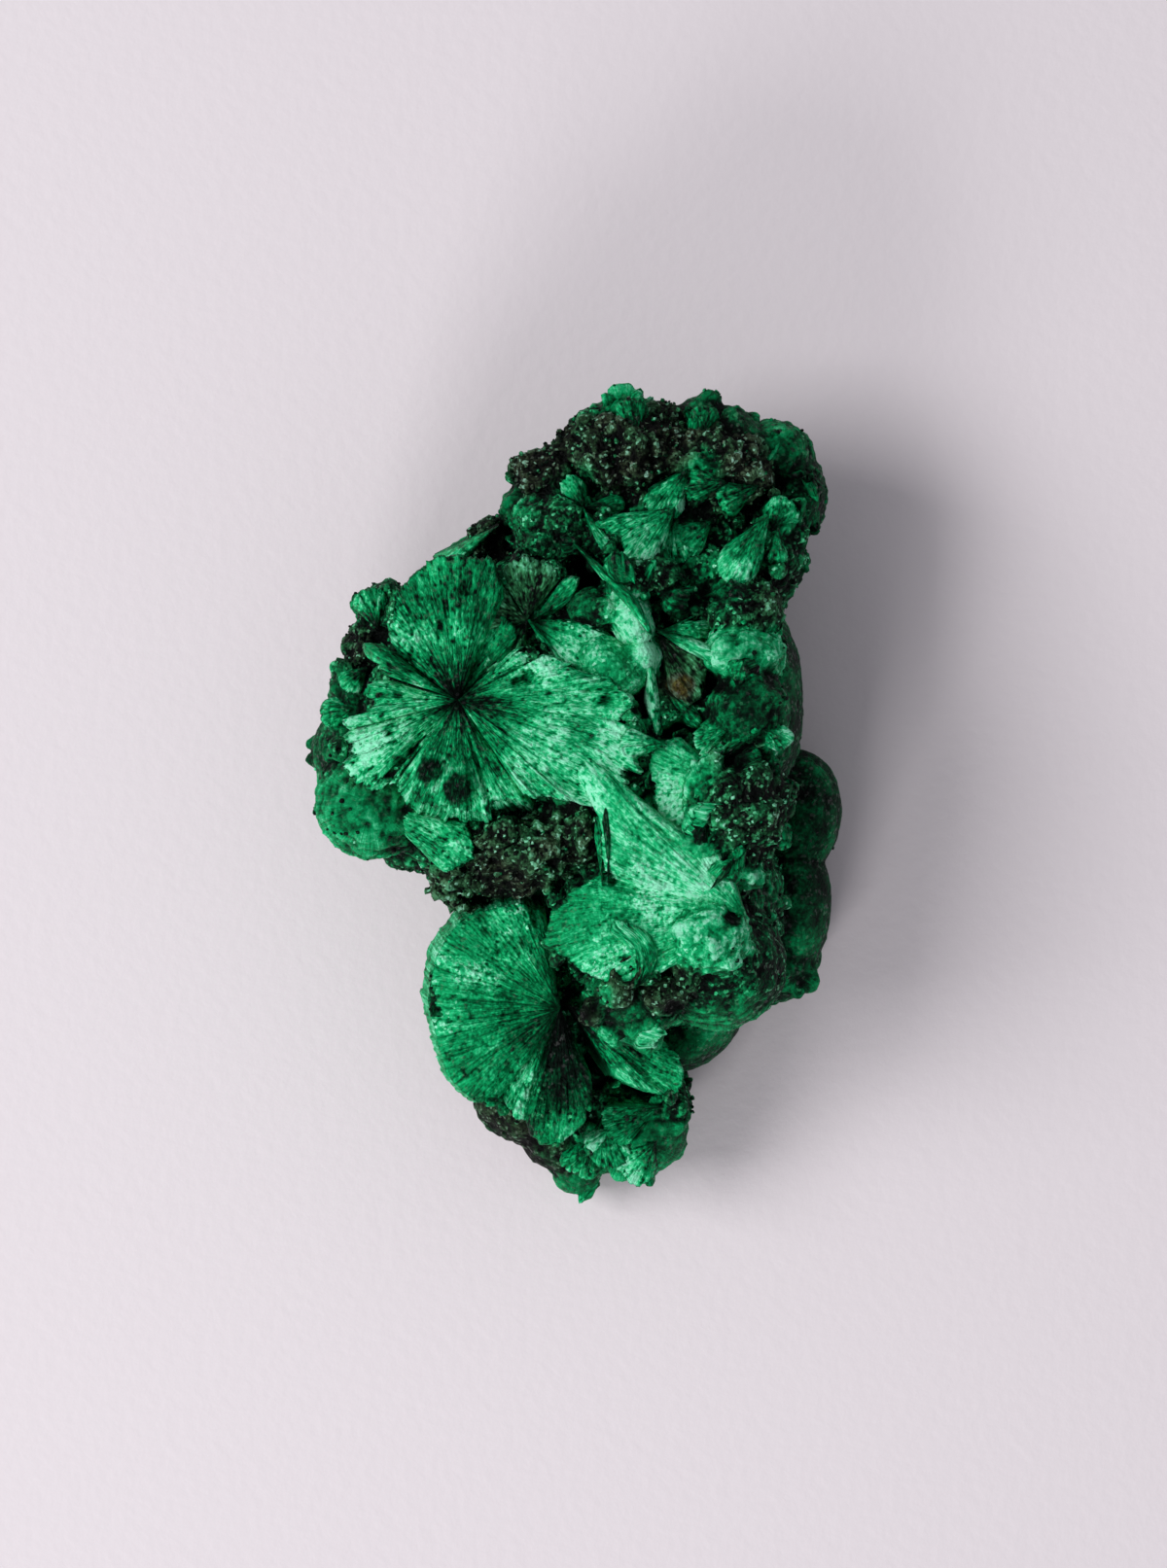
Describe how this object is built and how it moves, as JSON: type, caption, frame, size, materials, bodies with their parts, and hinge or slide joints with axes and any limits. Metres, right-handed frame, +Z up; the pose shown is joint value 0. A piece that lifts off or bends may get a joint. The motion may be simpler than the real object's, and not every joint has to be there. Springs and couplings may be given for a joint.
{
  "type": "malachite specimen",
  "caption": "Hand specimen of fibrous malachite: silky sprays of fibres fanned flat over a lumpy mass with dark knobs and crust, resting on a flat broken face.",
  "frame": {"origin": "on the flat broken face that the specimen rests on, under the middle of its length", "axes": "+Z up, away from the broken face; +Y along the specimen's length, towards its broad crusted end; +X across it"},
  "size_m": [0.0424, 0.0641, 0.0289],
  "materials": {
    "malachite": "silky"
  },
  "bodies": {
    "root": {"malachite": "malachite"}
  },
  "joints": []
}
